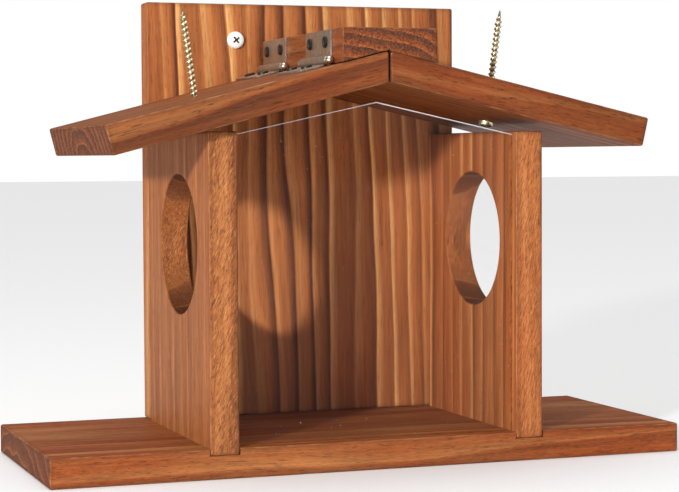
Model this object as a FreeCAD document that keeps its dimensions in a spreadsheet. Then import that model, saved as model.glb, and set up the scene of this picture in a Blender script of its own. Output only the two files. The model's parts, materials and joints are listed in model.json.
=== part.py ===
import FreeCAD, Part
import math
import os
import Sketcher

# Wall-mounted wooden feeder: a tray, two side walls with round entry holes, a back board
# that is screwed to a wall or a trunk, a clear front window, and a two-panel roof.
# The left roof panel is a lid on two butt hinges; the right one is fixed.
# Axes: +X to the feeder's right seen from its front, +Y towards the wall, +Z up.
# Origin: the centre of the tray's underside.

doc = FreeCAD.newDocument("wall_feeder")
sheet = doc.addObject("Spreadsheet::Sheet", "dims")

# Driving dimensions, millimetres and degrees.
DIMENSIONS = {
    "board": 15.0,              # thickness of the tray, wall and roof boards
    "back_thick": 13.0,         # thickness of the back board
    "ease": 1.2,                # radius of the eased board edges
    "tray_length": 336.0,
    "wall_depth": 117.0,        # front edge to the back board
    "inner_width": 148.0,       # clear width between the side walls
    "wall_top": 169.2,          # height of the side walls' tops
    "back_rise": 31.58,         # back board's top above the ridge
    "dado_depth": 3.4,          # groove in the tray that seats a wall
    "dado_gap": 0.25,
    "entry_radius": 35.6,       # round entry hole in each side wall
    "entry_setback": 56.4,      # entry centre, behind the front edge
    "entry_drop": 56.7,         # entry centre, below the walls' tops
    "entry_ease": 0.8,
    "lid_slope": 14.3,
    "roof_slope": 12.9,
    "eave_span": 142.8,         # ridge line to a panel's outer top corner
    "roof_overhang": 14.0,      # roof panels, in front of the tray
    "ridge_kerf": 0.9,          # slot between the two panels at the ridge
    "lid_back_gap": 1.0,        # lid to back board
    "block_width": 50.0,
    "block_rise": 11.2,         # block top above the ridge
    "block_overhang": 14.6,
    "block_lift": 0.6,          # block to the top of the lid
    "window_thick": 2.2,
    "window_gap": 0.2,          # play on each side of the window in its grooves
    "window_setback": 5.0,
    "window_groove": 3.0,       # depth of the wall grooves
    "window_sill": 1.5,         # depth of the tray groove
    "window_rise": 14.6,        # window's peak above the walls' tops
    "window_slope": 12.2,
    "hinge_length": 38.0,
    "hinge_reach": 15.2,        # pin axis to the leaf's free edge
    "hinge_setback": 14.0,      # front hinge, behind the block's front
    "hinge_back_gap": 8.6,      # rear hinge to the back board
    "leaf_thick": 1.2,
    "knuckle_radius": 2.3,
    "knuckle_clear": 0.3,       # knuckles to the wood and to the other leaf
    "knuckle_gap": 0.2,         # between neighbouring knuckles
    "pin_radius": 1.1,
    "pin_fit": 0.03,            # radial, in the block leaf
    "pin_play": 0.06,           # radial, in the lid leaf
    "tip_radius": 2.1,          # ball tips of a hinge pin
    "leaf_screw_reach": 9.2,    # pin axis to a leaf's screws
    "leaf_screw_end": 7.5,      # leaf's end to its nearest screw
    "leaf_head_radius": 2.9,
    "leaf_head_height": 1.4,
    "leaf_shank_radius": 1.4,
    "leaf_shank_length": 12.0,
    "corn_seat": 79.5,          # corn screw axis at the panel's underside, from the middle
    "corn_setback": 49.7,
    "corn_lean": 8.0,           # outward from upright
    "corn_spot": 0.5,           # depth of the spot face under a panel
    "corn_radius": 1.9,
    "corn_step": 0.25,          # the plain shank in the wood is this much fatter
    "corn_collar": 0.5,         # plain shank past the thickness of a board
    "corn_length": 60.0,
    "corn_point": 4.0,
    "corn_head_radius": 4.0,
    "corn_head_height": 3.2,
    "lid_rest_gap": 0.25,       # lid's screw head over the wall's top when shut
    "mounting_spacing": 79.0,
    "mounting_rise": 11.88,     # mounting screws above the ridge
    "mounting_head_radius": 4.65,
    "mounting_head_height": 2.6,
    "mounting_radius": 2.0,
    "mounting_step": 0.25,      # the plain shank in the back board is this much fatter
    "mounting_length": 38.0,
    "wood_head_radius": 3.7,
    "wood_head_height": 2.2,
    "wood_radius": 1.9,
    "wood_length": 35.0,
    "short_length": 24.0,
    "screw_fit": 0.05,          # radial, screws in their holes
    "wall_screw_edge": 24.0,    # wall's front or back to the nearest tray screw
    "back_screw_low": 48.0,
    "back_screw_drop": 19.2,    # upper wall screws below the walls' tops
    "back_foot_spacing": 52.0,
    "roof_screw_near": 42.0,
    "roof_screw_far": 74.0,
    "block_screw_side": 9.0,
    "block_roof_side": 13.0,
    "block_screw_drop": 8.0,
    "block_screw_end": 28.0,
}

for row, (alias, size) in enumerate(DIMENSIONS.items(), start=1):
    sheet.set(f"A{row}", alias)
    sheet.set(f"B{row}", str(size))
    sheet.setAlias(f"B{row}", alias)
doc.recompute()


def expression(text):
    """Write a formula on the sheet's aliases as an expression that any object can read."""
    words = []
    word = ""
    for letter in text + " ":
        if letter.isalnum() or letter == "_":
            word += letter
            continue
        words.append(f"dims.{word}" if word in DIMENSIONS else word)
        words.append(letter)
        word = ""
    return "".join(words).strip()


def number(text):
    """The present value of a formula."""
    return float(sheet.evalExpression(expression(text)))


# Places that several pieces share, as formulas on the driving dimensions.
FRONT = "(-(wall_depth + back_thick) / 2)"
BACK = "((wall_depth + back_thick) / 2)"
BACK_FACE = f"({FRONT} + wall_depth)"
INNER = "(inner_width / 2)"
OUTER = "(inner_width / 2 + board)"
WALL_MIDDLE = "(inner_width / 2 + board / 2)"
HEAD_DROP = "((corn_head_height - corn_spot) * cos(corn_lean) + corn_head_radius * sin(corn_lean))"
LID_SEAT = f"(wall_top + lid_rest_gap + {HEAD_DROP})"
RIDGE = f"({LID_SEAT} + corn_seat * tan(lid_slope) + board / cos(lid_slope))"
ROOF_SEAT = f"({RIDGE} - corn_seat * tan(roof_slope) - board / cos(roof_slope))"
BLOCK_TOP = f"({RIDGE} + block_rise)"
WINDOW_PEAK = "(wall_top + window_rise)"
MOUNTING_HEIGHT = f"({RIDGE} + mounting_rise)"
BACK_SCREW_HEIGHTS = ("back_screw_low", "wall_top - back_screw_drop")
KERF = "(ridge_kerf / 2)"
BLOCK_SIDE = "(block_width / 2)"
PIN_STAND = "(knuckle_radius + knuckle_clear)"
PIN_X = f"(-{BLOCK_SIDE} - {PIN_STAND})"
PIN_Z = f"({RIDGE} + {PIN_X} * tan(lid_slope) + {PIN_STAND} / cos(lid_slope))"
BLOCK_FRONT = f"({FRONT} - block_overhang)"
HINGE_FRONT = f"({BLOCK_FRONT} + hinge_setback)"
REAR_HINGE_FRONT = f"({BACK_FACE} - hinge_back_gap - hinge_length)"
CORN_SHANK = "(board + corn_collar)"


def bind(thing, name, text):
    thing.setExpression(name, expression(text))


def new_body(label):
    body = doc.addObject("PartDesign::Body", label)
    body.Label = label
    return body


def plane_of(body, role):
    return next(item for item in body.Origin.OriginFeatures if item.Role == role)


def new_sketch(body, role, name, offset="0"):
    """A sketch on one of the body's own planes, moved along the plane's normal."""
    sketch = body.newObject("Sketcher::SketchObject", f"{body.Name}_{name}")
    sketch.AttachmentSupport = (plane_of(body, role), "")
    sketch.MapMode = "FlatFace"
    bind(sketch, "AttachmentOffset.Base.z", offset)
    return sketch


def place_point(sketch, index, position, across, upward):
    """Tie one point of a sketch to the sketch's own origin."""
    sketch.addConstraint(Sketcher.Constraint("DistanceX", -1, 1, index, position, number(across)))
    bind(sketch, f"Constraints[{sketch.ConstraintCount - 1}]", across)
    sketch.addConstraint(Sketcher.Constraint("DistanceY", -1, 1, index, position, number(upward)))
    bind(sketch, f"Constraints[{sketch.ConstraintCount - 1}]", upward)


def draw_polygon(sketch, corners):
    """A closed outline through corners given as pairs of formulas."""
    points = [FreeCAD.Vector(number(across), number(upward), 0) for across, upward in corners]
    first = sketch.GeometryCount
    for index, start in enumerate(points):
        end = points[(index + 1) % len(points)]
        sketch.addGeometry(Part.LineSegment(start, end), False)
    for index, (across, upward) in enumerate(corners):
        following = first + (index + 1) % len(corners)
        sketch.addConstraint(Sketcher.Constraint("Coincident", first + index, 2, following, 1))
        place_point(sketch, first + index, 1, across, upward)


def draw_rectangle(sketch, left, right, low, high):
    draw_polygon(sketch, [(left, low), (right, low), (right, high), (left, high)])


def draw_circle(sketch, across, upward, radius):
    centre = FreeCAD.Vector(number(across), number(upward), 0)
    circle = Part.Circle(centre, FreeCAD.Vector(0, 0, 1), number(radius))
    index = sketch.addGeometry(circle, False)
    sketch.addConstraint(Sketcher.Constraint("Radius", index, number(radius)))
    bind(sketch, f"Constraints[{sketch.ConstraintCount - 1}]", radius)
    place_point(sketch, index, 3, across, upward)


def add_pad(body, sketch, length, reverse=False):
    pad = body.newObject("PartDesign::Pad", f"{sketch.Name}_pad")
    pad.Profile = sketch
    pad.Reversed = reverse
    bind(pad, "Length", length)
    doc.recompute()
    return pad


def cut_pocket(body, sketch, depth, reverse=False):
    """Cut a sketch into the body, and make sure that it took wood away."""
    before = body.Shape.Volume
    pocket = body.newObject("PartDesign::Pocket", f"{sketch.Name}_cut")
    pocket.Profile = sketch
    pocket.Reversed = reverse
    bind(pocket, "Length", depth)
    doc.recompute()
    if body.Shape.Volume > before - 1e-3:
        raise RuntimeError(f"{sketch.Name} cuts nothing")
    return pocket


def round_edges(body, feature, edges, radius):
    """Ease the named edges of a feature."""
    fillet = body.newObject("PartDesign::Fillet", f"{feature.Name}_ease")
    fillet.Base = (feature, edges)
    bind(fillet, "Radius", radius)
    doc.recompute()
    return fillet


def all_edges(feature):
    return [f"Edge{index}" for index in range(1, len(feature.Shape.Edges) + 1)]


def round_rims(body, feature, radius, ease):
    """Ease the rims of the round holes that have this radius."""
    around = 2 * math.pi * number(radius)
    rims = [
        f"Edge{index}" for index, edge in enumerate(feature.Shape.Edges, start=1)
        if edge.isClosed() and abs(edge.Length - around) < 1e-3
    ]
    return round_edges(body, feature, rims, ease)


def drill(body, role, name, offset, centres, radius, depth, reverse=False):
    """Straight holes of one radius and depth, from a plane parallel to a body's plane."""
    sketch = new_sketch(body, role, name, offset)
    for across, upward in centres:
        draw_circle(sketch, across, upward, radius)
    return cut_pocket(body, sketch, depth, reverse)


def countersink(body, name, axis, centres):
    """Cone seats for flat screw heads, whose mouths lie on a face across the axis."""
    for index, place in enumerate(centres):
        before = body.Shape.Volume
        seat = body.newObject("PartDesign::SubtractiveCone", f"{body.Name}_{name}_{index}")
        seat.AttachmentSupport = (plane_of(body, "XY_Plane"), "")
        seat.MapMode = "FlatFace"
        bind(seat, "Radius1", "wood_head_radius")
        bind(seat, "Radius2", "wood_radius")
        bind(seat, "Height", "wood_head_height")
        seat.AttachmentOffset = FreeCAD.Placement(FreeCAD.Vector(), rotation_to(axis))
        for coordinate, text in zip("xyz", place):
            bind(seat, f"AttachmentOffset.Base.{coordinate}", text)
        doc.recompute()
        if body.Shape.Volume > before - 1e-3:
            raise RuntimeError(f"{seat.Name} cuts nothing")


def rotation_to(axis):
    """The turn that carries +Z onto an axis."""
    return FreeCAD.Rotation(FreeCAD.Vector(0, 0, 1), FreeCAD.Vector(*axis))


def put(body, place, rotation=None):
    """Place a body by formulas for its X, Y and Z."""
    if rotation is not None:
        body.Placement = FreeCAD.Placement(FreeCAD.Vector(), rotation)
    for coordinate, text in zip("xyz", place):
        bind(body, f"Placement.Base.{coordinate}", text)


# ---- Screws ----------------------------------------------------------------------------
# A screw is turned about its own Z axis: the seat of its head is at Z = 0 and the shank
# runs towards -Z. A flat head's top is at Z = 0 instead, so it ends flush with the wood.

def turn_profile(body, corners):
    sketch = new_sketch(body, "XZ_Plane", "profile")
    draw_polygon(sketch, corners)
    turned = body.newObject("PartDesign::Revolution", f"{body.Name}_turned")
    turned.Profile = sketch
    turned.ReferenceAxis = (sketch, ["V_Axis"])
    turned.Angle = 360
    doc.recompute()


def pan_screw(label, head_radius, head_height, shank_radius, length, point):
    body = new_body(label)
    turn_profile(body, [
        ("0", head_height),
        (f"{head_radius} * 0.72", head_height),
        (head_radius, f"{head_height} * 0.5"),
        (head_radius, "0"),
        (shank_radius, "0"),
        (shank_radius, f"{point} - {length}"),
        ("0", f"-{length}"),
    ])
    return body


def shouldered_screw(label, head_radius, head_height, step, shank, radius, length, point):
    """A pan-headed screw whose plain shank is fatter than the rest by a step."""
    body = new_body(label)
    turn_profile(body, [
        ("0", head_height),
        (f"{head_radius} * 0.72", head_height),
        (head_radius, f"{head_height} * 0.5"),
        (head_radius, "0"),
        (f"{radius} + {step}", "0"),
        (f"{radius} + {step}", f"-{shank}"),
        (radius, f"-{shank}"),
        (radius, f"{point} - {length}"),
        ("0", f"-{length}"),
    ])
    return body


def flat_screw(label, length):
    body = new_body(label)
    turn_profile(body, [
        ("0", "0"),
        ("wood_head_radius", "0"),
        ("wood_radius", "-wood_head_height"),
        ("wood_radius", f"wood_radius * 2 - {length}"),
        ("0", f"-{length}"),
    ])
    return body


def group(label, members):
    """Like screws kept together as one sub-part of separate solids."""
    bundle = doc.addObject("Part::Compound", label)
    bundle.Label = label
    bundle.Links = members
    doc.recompute()
    return bundle


def flat_screws(label, length, driven, places):
    """Flat-headed wood screws driven along one axis, heads at the given places."""
    turn = rotation_to([-part for part in driven])
    members = []
    for index, place in enumerate(places, start=1):
        screw = flat_screw(f"{label}_{index}", length)
        put(screw, place, turn)
        members.append(screw)
    return group(label, members)


# ---- Where the hidden assembly screws go ------------------------------------------------

SIDES = [f"-{WALL_MIDDLE}", WALL_MIDDLE]
TRAY_WALL_PLACES = [
    (side, place, "0")
    for side in SIDES
    for place in (f"{FRONT} + wall_screw_edge", f"{BACK_FACE} - wall_screw_edge")
]
TRAY_BACK_PLACES = [
    (side, f"{BACK} - back_thick / 2", "0")
    for side in ("-back_foot_spacing", "0", "back_foot_spacing")
]
BACK_WALL_PLACES = [
    (side, BACK, height) for side in SIDES for height in BACK_SCREW_HEIGHTS
]
BACK_ROOF_PLACES = [
    (side, BACK, f"{RIDGE} - {side} * tan(roof_slope) - board / cos(roof_slope) / 2")
    for side in ("roof_screw_near", "roof_screw_far")
]
BACK_BLOCK_PLACES = [
    (side, BACK, f"{BLOCK_TOP} - block_screw_drop")
    for side in ("-block_screw_side", "block_screw_side")
]
BLOCK_ROOF_PLACES = [
    ("block_roof_side", place, BLOCK_TOP)
    for place in (f"{BLOCK_FRONT} + block_screw_end", f"{BACK_FACE} - block_screw_end")
]


def across_and_up(places):
    return [(place[0], place[2]) for place in places]


def across_and_back(places):
    return [(place[0], place[1]) for place in places]


# ---- Boards ------------------------------------------------------------------------------

def make_tray():
    """The floor board, with a groove for each wall's foot and a shallow one for the window."""
    body = new_body("tray_board")
    blank = new_sketch(body, "XY_Plane", "blank")
    draw_rectangle(blank, "-tray_length / 2", "tray_length / 2", FRONT, BACK)
    plank = add_pad(body, blank, "board")
    round_edges(body, plank, all_edges(plank), "ease")
    dados = new_sketch(body, "XY_Plane", "dados", "board")
    reach = f"{BACK_FACE} + dado_gap"
    start = f"{FRONT} - board"
    draw_rectangle(dados, f"{INNER} - dado_gap", f"{OUTER} + dado_gap", start, reach)
    draw_rectangle(dados, f"-{OUTER} - dado_gap", f"-{INNER} + dado_gap", start, reach)
    cut_pocket(body, dados, "dado_depth")
    sill = new_sketch(body, "XY_Plane", "sill", "board")
    near = f"{FRONT} + window_setback - window_gap"
    far = f"{FRONT} + window_setback + window_thick + window_gap"
    draw_rectangle(sill, f"-{INNER}", INNER, near, far)
    cut_pocket(body, sill, "window_sill")
    places = TRAY_WALL_PLACES + TRAY_BACK_PLACES
    radius = "wood_radius + screw_fit"
    drill(body, "XY_Plane", "screws", "0", across_and_back(places), radius, "board", True)
    countersink(body, "seat", (0, 0, 1), places)
    return body


def make_back():
    """The back board stands on the tray's back edge and rises above the roof."""
    body = new_body("back_board")
    blank = new_sketch(body, "XZ_Plane", "blank", f"-{BACK}")
    draw_rectangle(blank, f"-{OUTER}", OUTER, "board", f"{RIDGE} + back_rise")
    plank = add_pad(body, blank, "back_thick")
    round_edges(body, plank, all_edges(plank), "ease")
    places = BACK_WALL_PLACES + BACK_ROOF_PLACES + BACK_BLOCK_PLACES
    radius = "wood_radius + screw_fit"
    rear = f"-{BACK}"
    drill(body, "XZ_Plane", "screws", rear, across_and_up(places), radius, "back_thick", True)
    countersink(body, "seat", (0, -1, 0), places)
    ends = [(f"{sign}mounting_spacing / 2", MOUNTING_HEIGHT) for sign in ("-", "")]
    drill(body, "XZ_Plane", "mounting", rear, ends,
          "mounting_radius + mounting_step + screw_fit", "back_thick", True)
    foot = across_and_back(TRAY_BACK_PLACES)
    drill(body, "XY_Plane", "foot", "board", foot, radius, "wood_length - board", True)
    return body


def make_wall(label, sign):
    """A side wall: a tall board with the round entry, grooved for the window."""
    body = new_body(label)
    blank = new_sketch(body, "YZ_Plane", "blank", INNER if sign > 0 else f"-{OUTER}")
    draw_rectangle(blank, FRONT, BACK_FACE, "board - dado_depth", "wall_top")
    plank = add_pad(body, blank, "board")
    round_edges(body, plank, all_edges(plank), "ease")
    side = INNER if sign > 0 else f"-{OUTER}"
    entry = [(f"{FRONT} + entry_setback", "wall_top - entry_drop")]
    hole = drill(body, "YZ_Plane", "entry", side, entry, "entry_radius", "board", True)
    round_rims(body, hole, "entry_radius", "entry_ease")
    groove = new_sketch(body, "YZ_Plane", "groove", INNER if sign > 0 else f"-{INNER}")
    near = f"{FRONT} + window_setback - window_gap"
    far = f"{FRONT} + window_setback + window_thick + window_gap"
    draw_rectangle(groove, near, far, "board - window_sill", "wall_top + board")
    cut_pocket(body, groove, "window_groove", sign > 0)
    radius = "wood_radius + screw_fit"
    under = [(WALL_MIDDLE if sign > 0 else f"-{WALL_MIDDLE}", place[1])
             for place in TRAY_WALL_PLACES[:2]]
    foot = "(board - dado_depth)"
    drill(body, "XY_Plane", "feet", foot, under, radius, f"wood_length - {foot}", True)
    behind = [(WALL_MIDDLE if sign > 0 else f"-{WALL_MIDDLE}", height)
              for height in BACK_SCREW_HEIGHTS]
    drill(body, "XZ_Plane", "backs", f"-{BACK_FACE}", behind, radius, "wood_length - back_thick",
          True)
    return body


def make_window():
    """The clear window slides down the wall grooves; its top follows the gable."""
    body = new_body("clear_window")
    edge = f"({INNER} + window_groove - window_gap)"
    shoulder = f"{WINDOW_PEAK} - {edge} * tan(window_slope)"
    foot = "board - window_sill"
    outline = new_sketch(body, "XZ_Plane", "outline", f"-({FRONT} + window_setback)")
    draw_polygon(outline, [
        (f"-{edge}", foot),
        (edge, foot),
        (edge, shoulder),
        ("0", WINDOW_PEAK),
        (f"-{edge}", shoulder),
    ])
    add_pad(body, outline, "window_thick", True)
    return body


def roof_corners(side, slope):
    """A roof panel seen from the front: plumb at the ridge, cut square at the eave."""
    inner = f"{side}{KERF}"
    outer = f"{side}eave_span"
    back_in = f"{side}(eave_span - board * sin({slope}))"
    eave = f"{RIDGE} - eave_span * tan({slope})"
    return [
        (inner, f"{RIDGE} - {KERF} * tan({slope})"),
        (outer, eave),
        (back_in, f"{eave} - board * cos({slope})"),
        (inner, f"{RIDGE} - {KERF} * tan({slope}) - board / cos({slope})"),
    ]


def bore_corn_screw(body, sign, seat_height):
    """The leaning hole for a corn screw, and the spot face for its head underneath."""
    lean = FreeCAD.Rotation(FreeCAD.Vector(0, sign, 0), 1)
    seat = f"({seat_height} + corn_spot * cos(corn_lean))"
    shift = "corn_spot * sin(corn_lean)"
    cuts = [
        ("hole", "corn_radius + corn_step + screw_fit", "board * 2", "0"),
        ("spot", "corn_head_radius + screw_fit * 4", "board / 3", "-board / 3"),
    ]
    for name, radius, height, start in cuts:
        before = body.Shape.Volume
        cut = body.newObject("PartDesign::SubtractiveCylinder", f"{body.Name}_{name}")
        cut.AttachmentSupport = (plane_of(body, "XY_Plane"), "")
        cut.MapMode = "FlatFace"
        bind(cut, "Radius", radius)
        bind(cut, "Height", height)
        cut.AttachmentOffset = FreeCAD.Placement(FreeCAD.Vector(), lean)
        bind(cut, "AttachmentOffset.Rotation.Angle", "corn_lean")
        along = f"({start})"
        side = "-" if sign < 0 else ""
        bind(cut, "AttachmentOffset.Base.x",
             f"{side}(corn_seat + {shift} + {along} * sin(corn_lean))")
        bind(cut, "AttachmentOffset.Base.y", f"{FRONT} + corn_setback")
        bind(cut, "AttachmentOffset.Base.z", f"{seat} + {along} * cos(corn_lean)")
        doc.recompute()
        if body.Shape.Volume > before - 1e-3:
            raise RuntimeError(f"{cut.Name} cuts nothing")


def make_roof_panel():
    """The fixed right panel, held by the back board and the ridge block."""
    body = new_body("right_roof_panel")
    front = f"-({FRONT} - roof_overhang)"
    profile = new_sketch(body, "XZ_Plane", "profile", front)
    draw_polygon(profile, roof_corners("", "roof_slope"))
    plank = add_pad(body, profile, "wall_depth + roof_overhang", True)
    round_edges(body, plank, all_edges(plank), "ease")
    bore_corn_screw(body, 1, ROOF_SEAT)
    radius = "wood_radius + screw_fit"
    drill(body, "XZ_Plane", "backs", f"-{BACK_FACE}", across_and_up(BACK_ROOF_PLACES), radius,
          "wood_length - back_thick", True)
    depth = f"short_length - {BLOCK_TOP} + {RIDGE}"
    drill(body, "XY_Plane", "tops", RIDGE, across_and_back(BLOCK_ROOF_PLACES), radius, depth)
    return body


def make_lid():
    """The left panel, the lid that swings up on the ridge block's hinges."""
    body = new_body("left_roof_lid")
    front = f"-({FRONT} - roof_overhang)"
    profile = new_sketch(body, "XZ_Plane", "profile", front)
    draw_polygon(profile, roof_corners("-", "lid_slope"))
    plank = add_pad(body, profile, "wall_depth + roof_overhang - lid_back_gap", True)
    round_edges(body, plank, all_edges(plank), "ease")
    bore_corn_screw(body, -1, LID_SEAT)
    tilt = FreeCAD.Rotation(FreeCAD.Vector(0, -1, 0), 1)
    for index, place in enumerate(leaf_screw_distances()):
        before = body.Shape.Volume
        pilot = body.newObject("PartDesign::SubtractiveCylinder", f"pilot_{index}")
        pilot.AttachmentSupport = (plane_of(body, "XY_Plane"), "")
        pilot.MapMode = "FlatFace"
        bind(pilot, "Radius", "leaf_shank_radius + screw_fit")
        bind(pilot, "Height", "leaf_shank_length")
        pilot.AttachmentOffset = FreeCAD.Placement(FreeCAD.Vector(), tilt)
        bind(pilot, "AttachmentOffset.Rotation.Angle", "lid_slope")
        run = "(-leaf_screw_reach)"
        drop = f"(leaf_thick - {PIN_STAND} - leaf_shank_length)"
        bind(pilot, "AttachmentOffset.Base.x",
             f"{PIN_X} + {run} * cos(lid_slope) - {drop} * sin(lid_slope)")
        bind(pilot, "AttachmentOffset.Base.y", place)
        bind(pilot, "AttachmentOffset.Base.z",
             f"{PIN_Z} + {run} * sin(lid_slope) + {drop} * cos(lid_slope)")
        doc.recompute()
        if body.Shape.Volume > before - 1e-3:
            raise RuntimeError(f"{pilot.Name} cuts nothing")
    return body


def make_block():
    """The ridge block sits astride the ridge; the hinges are on its left face."""
    body = new_body("ridge_block")
    profile = new_sketch(body, "XZ_Plane", "profile", f"-{BLOCK_FRONT}")
    draw_polygon(profile, [
        (f"-{BLOCK_SIDE}", BLOCK_TOP),
        (BLOCK_SIDE, BLOCK_TOP),
        (BLOCK_SIDE, f"{RIDGE} - {BLOCK_SIDE} * tan(roof_slope)"),
        ("0", RIDGE),
        ("0", f"{RIDGE} + block_lift"),
        (f"-{BLOCK_SIDE}", f"{RIDGE} + block_lift - {BLOCK_SIDE} * tan(lid_slope)"),
    ])
    billet = add_pad(body, profile, "wall_depth + block_overhang", True)
    top = number(BLOCK_TOP)
    upper = [f"Edge{index}" for index, edge in enumerate(billet.Shape.Edges, start=1)
             if edge.BoundBox.ZMax > top - 1e-3]
    round_edges(body, billet, upper, "ease")
    radius = "wood_radius + screw_fit"
    drill(body, "XZ_Plane", "backs", f"-{BACK_FACE}", across_and_up(BACK_BLOCK_PLACES), radius,
          "wood_length - back_thick", True)
    drill(body, "XY_Plane", "tops", BLOCK_TOP, across_and_back(BLOCK_ROOF_PLACES), radius,
          "block_width / 2")
    countersink(body, "seat", (0, 0, -1), BLOCK_ROOF_PLACES)
    pilots = [(place, f"{PIN_Z} + leaf_screw_reach") for place in leaf_screw_distances()]
    drill(body, "YZ_Plane", "pilots", f"-{BLOCK_SIDE}", pilots, "leaf_shank_radius + screw_fit",
          "leaf_shank_length - leaf_thick", True)
    return body


# ---- Hinges ------------------------------------------------------------------------------

def hinge_fronts():
    return [HINGE_FRONT, REAR_HINGE_FRONT]


def leaf_screw_distances():
    """The places along Y of a leaf's screws, for both hinges."""
    ends = ("leaf_screw_end", "hinge_length - leaf_screw_end")
    return [f"{front} + {end}" for front in hinge_fronts() for end in ends]


THIRD = "(hinge_length / 3)"
HALF_GAP = "(knuckle_gap / 2)"
SWEEP = "(knuckle_radius + knuckle_clear)"


def make_leaf(label, owner, front):
    """A hinge leaf about its pin axis, which runs along Y through the body's origin."""
    body = new_body(label)
    plate = new_sketch(body, "XZ_Plane", "plate")
    if owner == "block":
        draw_rectangle(plate, f"{PIN_STAND} - leaf_thick", PIN_STAND, "0", "hinge_reach")
        spans = [(f"{THIRD} - {HALF_GAP}", f"{THIRD} * 2 + {HALF_GAP}")]
        bore = "pin_radius + pin_fit"
    else:
        draw_rectangle(plate, "-hinge_reach", "0", f"-{PIN_STAND}", f"leaf_thick - {PIN_STAND}")
        spans = [(f"-{THIRD}", f"{THIRD} + {HALF_GAP}"),
                 (f"{THIRD} * 2 - {HALF_GAP}", f"{THIRD} * 4")]
        bore = "pin_radius + pin_play"
    add_pad(body, plate, "hinge_length", True)
    knuckle = new_sketch(body, "XZ_Plane", "knuckle")
    draw_circle(knuckle, "0", "0", "knuckle_radius")
    add_pad(body, knuckle, "hinge_length", True)
    gaps = new_sketch(body, "YZ_Plane", "gaps", f"-{SWEEP} - leaf_thick")
    for start, end in spans:
        draw_rectangle(gaps, start, end, f"-{SWEEP} - leaf_thick", SWEEP)
    cut_pocket(body, gaps, f"({SWEEP} + leaf_thick) * 2", True)
    drill(body, "XZ_Plane", "bore", "0", [("0", "0")], bore, "hinge_length")
    ends = ("leaf_screw_end", "hinge_length - leaf_screw_end")
    radius = "leaf_shank_radius + screw_fit"
    if owner == "block":
        holes = [(end, "leaf_screw_reach") for end in ends]
        drill(body, "YZ_Plane", "holes", "0", holes, radius, "hinge_reach", True)
        put(body, (PIN_X, front, PIN_Z))
    else:
        holes = [("-leaf_screw_reach", end) for end in ends]
        drill(body, "XY_Plane", "holes", "0", holes, radius, "hinge_reach")
        put(body, (PIN_X, front, PIN_Z), FreeCAD.Rotation(FreeCAD.Vector(0, -1, 0), 1))
        bind(body, "Placement.Rotation.Angle", "lid_slope")
    doc.recompute()
    return body


def make_pin(label, front):
    """A hinge pin with a ball tip just outside each end of the knuckles."""
    along = rotation_to((0, 1, 0))
    shaft = doc.addObject("Part::Cylinder", f"{label}_shaft")
    bind(shaft, "Radius", "pin_radius")
    bind(shaft, "Height", "hinge_length + tip_radius * 2")
    put(shaft, (PIN_X, f"{front} - tip_radius", PIN_Z), along)
    tips = []
    for name, place in (("front", f"{front} - tip_radius - knuckle_gap / 2"),
                        ("rear", f"{front} + hinge_length + tip_radius + knuckle_gap / 2")):
        tip = doc.addObject("Part::Sphere", f"{label}_{name}_tip")
        bind(tip, "Radius", "tip_radius")
        put(tip, (PIN_X, place, PIN_Z), along)
        tips.append(tip)
    pin = doc.addObject("Part::MultiFuse", label)
    pin.Label = label
    pin.Shapes = [shaft] + tips
    doc.recompute()
    return pin


def leaf_screws(label, owner):
    """The four small screws of the leaves that are on the block, or on the lid."""
    members = []
    for index, place in enumerate(leaf_screw_distances(), start=1):
        screw = pan_screw(f"{label}_{index}", "leaf_head_radius", "leaf_head_height",
                          "leaf_shank_radius", "leaf_shank_length", "leaf_shank_radius * 2")
        if owner == "block":
            face = f"-{BLOCK_SIDE} - leaf_thick"
            put(screw, (face, place, f"{PIN_Z} + leaf_screw_reach"), rotation_to((-1, 0, 0)))
        else:
            rise = f"(leaf_thick - {PIN_STAND})"
            across = f"{PIN_X} - leaf_screw_reach * cos(lid_slope) - {rise} * sin(lid_slope)"
            upward = f"{PIN_Z} - leaf_screw_reach * sin(lid_slope) + {rise} * cos(lid_slope)"
            put(screw, (across, place, upward), FreeCAD.Rotation(FreeCAD.Vector(0, -1, 0), 1))
            bind(screw, "Placement.Rotation.Angle", "lid_slope")
        members.append(screw)
    return group(label, members)


# ---- Screws that show --------------------------------------------------------------------

def make_corn_screw(label, sign, seat_height):
    """A long screw driven up through a roof panel, to hold a corn cob."""
    body = shouldered_screw(label, "corn_head_radius", "corn_head_height", "corn_step",
                            CORN_SHANK, "corn_radius", "corn_length", "corn_point")
    upright = FreeCAD.Rotation(FreeCAD.Vector(0, 1, 0), 180)
    side = "-" if sign < 0 else ""
    put(body, (
        f"{side}(corn_seat + corn_spot * sin(corn_lean))",
        f"{FRONT} + corn_setback",
        f"{seat_height} + corn_spot * cos(corn_lean)",
    ), upright)
    bind(body, "Placement.Rotation.Angle", f"180 {'+' if sign > 0 else '-'} corn_lean")
    doc.recompute()
    return body


def make_mounting_screw(label, sign):
    """A screw through the back board into the wall or trunk behind it."""
    body = shouldered_screw(label, "mounting_head_radius", "mounting_head_height",
                            "mounting_step", "back_thick", "mounting_radius",
                            "mounting_length", "mounting_radius * 2.5")
    side = "-" if sign < 0 else ""
    put(body, (f"{side}mounting_spacing / 2", BACK_FACE, MOUNTING_HEIGHT),
        rotation_to((0, -1, 0)))
    doc.recompute()
    return body


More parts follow.
